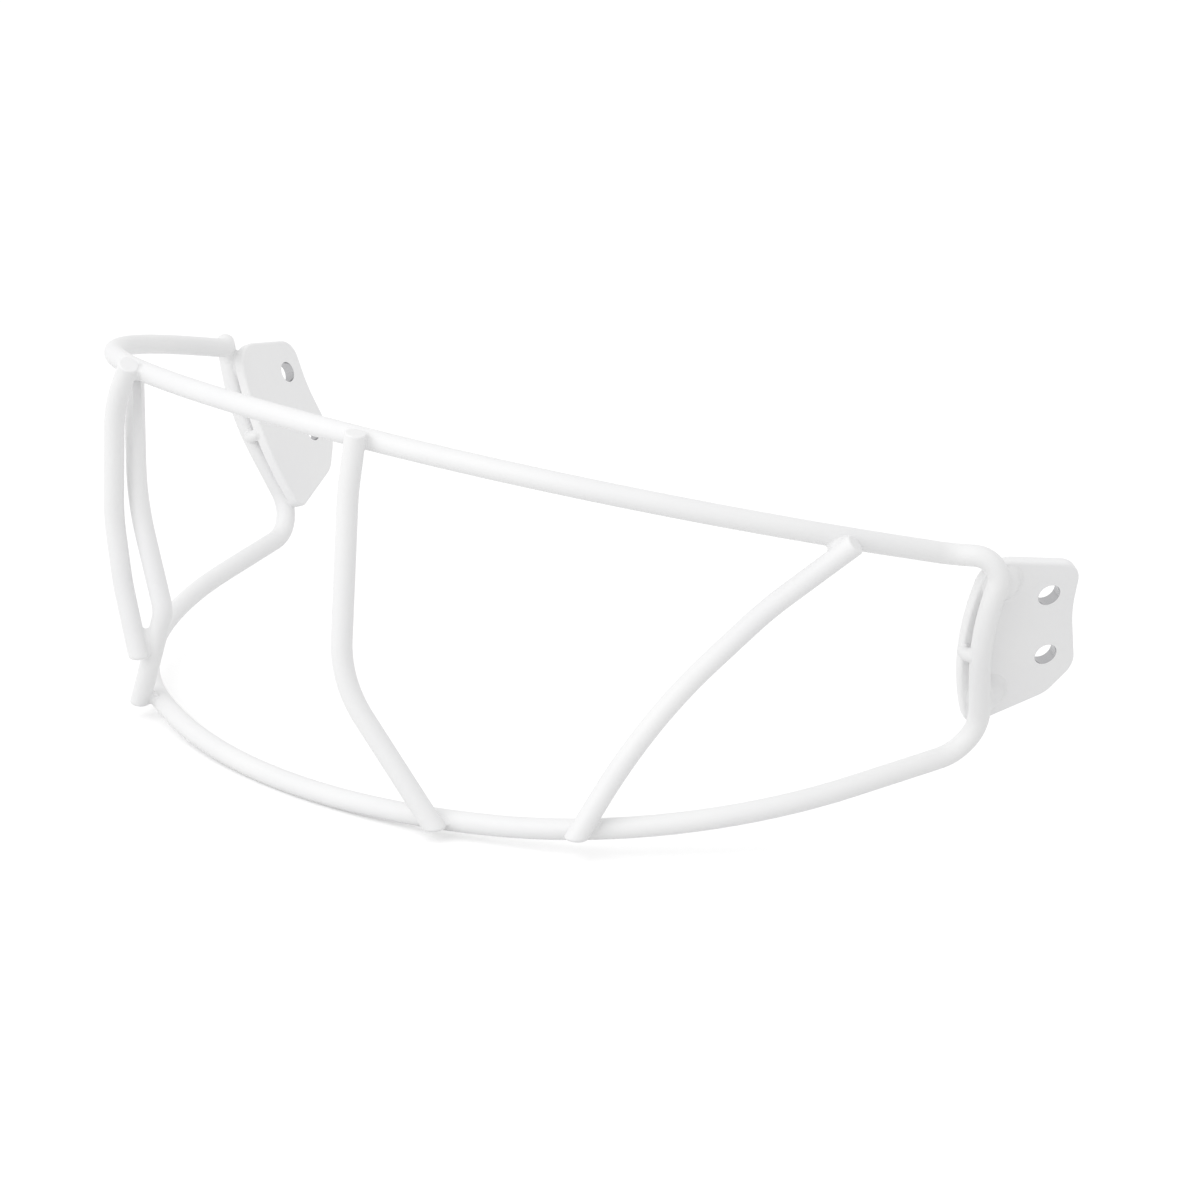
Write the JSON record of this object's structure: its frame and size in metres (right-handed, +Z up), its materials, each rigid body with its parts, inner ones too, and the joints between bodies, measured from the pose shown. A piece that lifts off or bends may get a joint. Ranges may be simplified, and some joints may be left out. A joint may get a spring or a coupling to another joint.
{
  "type": "softball face guard",
  "caption": "White coated wire face guard: a closed hoop bowed round the face, upright wires welded across it, and a flat plate with screw holes at each side.",
  "frame": {"origin": "middle of the guard's width and depth, at the height of its lowest point", "axes": "+X to the right of the guard as seen from the front camera (the near side in the picture), -Y the way the player looks, +Z up as it is worn"},
  "size_m": [0.2466, 0.1151, 0.0831],
  "materials": {
    "coated_wire": "satin white powder coat on steel wire",
    "coated_sheet": "satin white powder coat on steel sheet",
    "coated_weld": "satin white powder coat on weld metal"
  },
  "bodies": {
    "root": {"hoop": "coated_wire", "upright_right_centre": "coated_wire", "upright_right_side": "coated_wire", "upright_left_inner": "coated_wire", "upright_left_outer": "coated_wire", "mounting_plate_right": "coated_sheet", "mounting_plate_left": "coated_sheet", "weld_right_centre_top": "coated_weld", "weld_right_centre_foot": "coated_weld", "weld_right_side_top": "coated_weld", "weld_right_side_foot": "coated_weld", "weld_left_outer_top": "coated_weld", "weld_left_outer_foot": "coated_weld", "weld_left_inner_top": "coated_weld", "weld_left_inner_foot": "coated_weld", "weld_right_plate_top": "coated_weld", "weld_right_plate_middle": "coated_weld", "weld_right_plate_bottom": "coated_weld", "weld_left_plate_top": "coated_weld", "weld_left_plate_middle": "coated_weld", "weld_left_plate_bottom": "coated_weld"}
  },
  "joints": []
}
